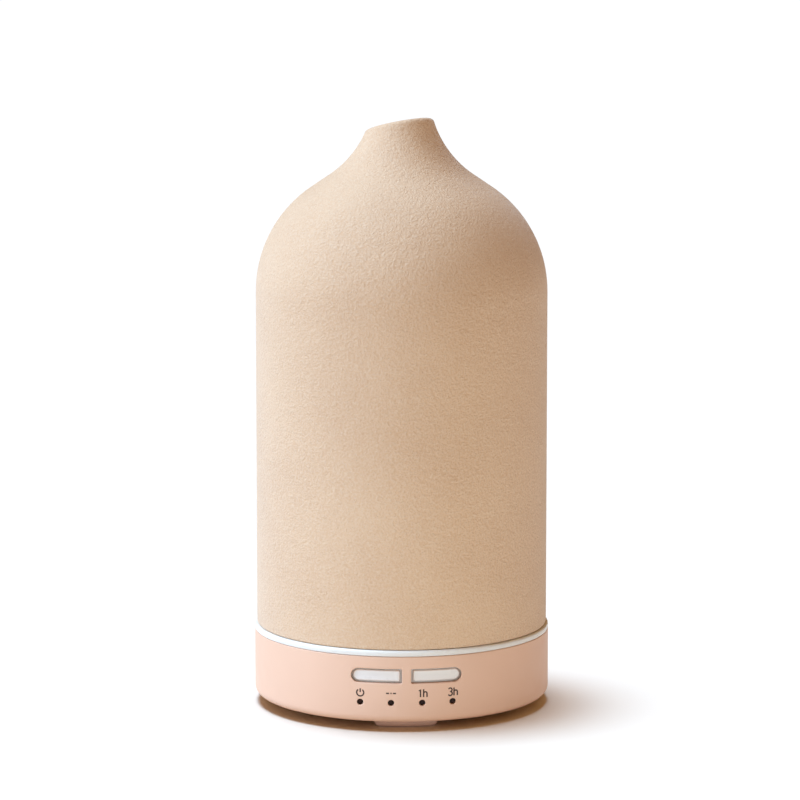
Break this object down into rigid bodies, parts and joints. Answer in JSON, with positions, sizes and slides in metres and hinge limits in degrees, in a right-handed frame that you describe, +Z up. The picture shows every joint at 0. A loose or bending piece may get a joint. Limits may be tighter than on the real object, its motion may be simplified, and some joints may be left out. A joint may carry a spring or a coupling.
{
  "type": "essential oil diffuser",
  "caption": "Ultrasonic aroma diffuser: lift-off ceramic bottle cover with a slanted mouth over a tank, light ring, and a round base with two push buttons.",
  "frame": {"origin": "centre of the diffuser's axis on the surface that the feet stand on", "axes": "+Z up along the axis of the body; the two control buttons face -Y; the high side of the mouth is towards +X"},
  "size_m": [0.0942, 0.0942, 0.1891],
  "materials": {
    "ceramic": "unglazed, fine sandy grain",
    "base_plastic": "satin moulded ABS",
    "diffuser_plastic": "milky translucent",
    "button_plastic": "smooth satin",
    "tank_plastic": "smooth moulded polypropylene",
    "foot_rubber": "matte silicone",
    "clear_silicone": "translucent silicone",
    "smoked_plastic": "smoked clear moulding",
    "black_plastic": "moulded",
    "white_plastic": "moulded nylon",
    "circuit_board": "solder mask over glass fibre board",
    "led_lens": "clear package over phosphor",
    "steel": "zinc plated",
    "brass": "polished",
    "aluminium": "extruded, natural",
    "copper_wire": "enamelled winding wire",
    "wire_jacket": "PVC insulation"
  },
  "bodies": {
    "base": {"base_shell": "base_plastic", "bottom_cover": "base_plastic", "foot_front": "foot_rubber", "foot_right_rear": "foot_rubber", "foot_left_rear": "foot_rubber", "case_screw_1": "steel", "case_screw_2": "steel", "case_screw_3": "steel", "case_screw_4": "steel", "light_ring": "diffuser_plastic", "light_board": "circuit_board", "mood_light_led_1": "led_lens", "mood_light_led_2": "led_lens", "mood_light_led_3": "led_lens", "mood_light_led_4": "led_lens", "mood_light_led_5": "led_lens", "mood_light_led_6": "led_lens", "water_tank": "tank_plastic", "tank_gasket": "clear_silicone", "transducer_seal": "clear_silicone", "transducer_disc": "brass", "transducer_clamp": "steel", "clamp_screw_1": "steel", "clamp_screw_2": "steel", "mist_switch": "black_plastic", "light_switch": "black_plastic", "button_board": "circuit_board", "button_ribbon": "white_plastic", "indicator_light_guide": "smoked_plastic", "indicator_led_1": "led_lens", "indicator_led_2": "led_lens", "indicator_led_3": "led_lens", "indicator_led_4": "led_lens", "fan_frame": "black_plastic", "fan_coil": "copper_wire", "fan_screw_1": "steel", "fan_screw_2": "steel", "main_board": "circuit_board", "board_screw_1": "steel", "board_screw_2": "steel", "power_socket": "black_plastic", "power_socket_pin": "brass", "controller_chip": "black_plastic", "driver_transistor": "black_plastic", "heat_sink": "aluminium", "inductor": "black_plastic", "capacitor": "black_plastic", "fan_header": "white_plastic", "transducer_header": "white_plastic", "light_header": "white_plastic", "fan_lead": "wire_jacket", "transducer_lead": "wire_jacket", "light_lead": "wire_jacket"},
    "cover": {"ceramic_cover": "ceramic"},
    "cap": {"splash_cap": "tank_plastic"},
    "mist_control": {"mist_button": "button_plastic", "mist_switch_plunger": "white_plastic"},
    "light_control": {"light_button": "button_plastic", "light_switch_plunger": "white_plastic"},
    "rotor": {"fan_rotor": "black_plastic"}
  },
  "joints": [
    {"name": "cover_lift", "type": "slide", "parent": "base", "child": "cover", "axis": [0, 0, 1], "range_m": [0, 0.16]},
    {"name": "cap_lift", "type": "slide", "parent": "base", "child": "cap", "axis": [0, 0, 1], "range_m": [0, 0.045]},
    {"name": "mist_press", "type": "slide", "parent": "base", "child": "mist_control", "axis": [0, 1, 0], "range_m": [0, 0.0006], "stiffness_N_per_m": 1500, "springref_m": -0.0004},
    {"name": "light_press", "type": "slide", "parent": "base", "child": "light_control", "axis": [0, 1, 0], "range_m": [0, 0.0006], "stiffness_N_per_m": 1500, "springref_m": -0.0004},
    {"name": "fan_spin", "type": "hinge", "parent": "base", "child": "rotor", "pos_m": [-0.0205, 0.0055, 0.01], "axis": [0, 0, 1], "continuous": true}
  ]
}
